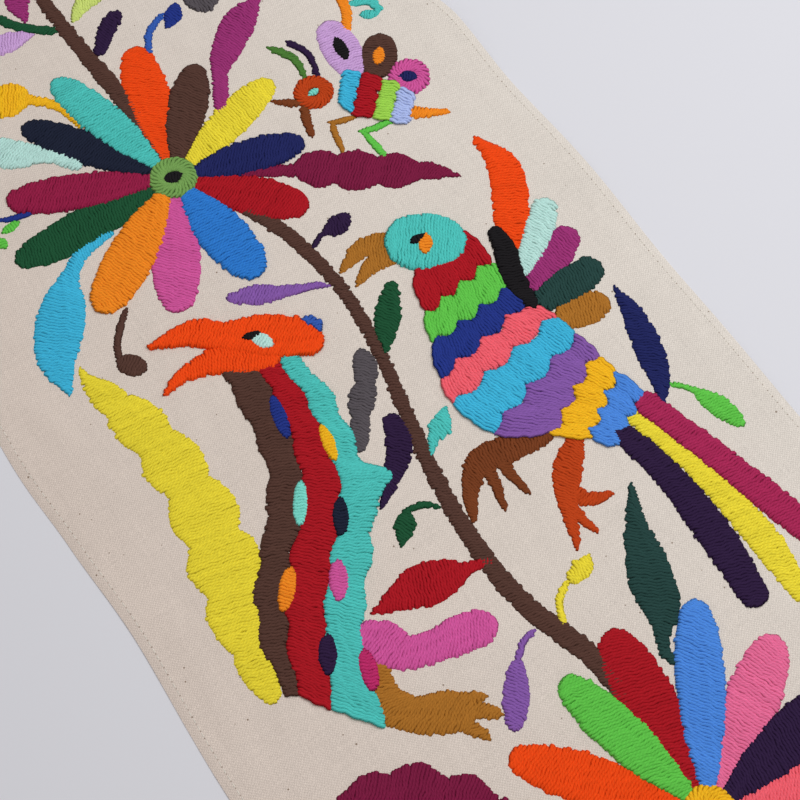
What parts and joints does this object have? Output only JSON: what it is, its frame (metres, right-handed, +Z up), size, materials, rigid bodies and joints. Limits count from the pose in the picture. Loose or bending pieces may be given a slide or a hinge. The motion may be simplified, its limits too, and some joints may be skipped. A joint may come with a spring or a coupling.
{
  "type": "otomi embroidered cloth table runner",
  "caption": "Long cotton table runner lying flat in low waves, hemmed on all edges, hand embroidered with bright flowers, leaves, birds and an insect along a winding stem.",
  "frame": {"origin": "centre of the runner's underside, on the surface it lies on", "axes": "+X along the runner, +Y across it, +Z up through the cloth"},
  "size_m": [1.0031, 0.3589, 0.0062],
  "materials": {
    "muslin": "undyed plain weave cotton, matte",
    "hem_thread": "ivory sewing cotton, matte",
    "embroidery_cotton": "stranded embroidery cotton in many bright colours, soft sheen"
  },
  "bodies": {
    "root": {"runner_cloth": "muslin"}
  },
  "joints": []
}
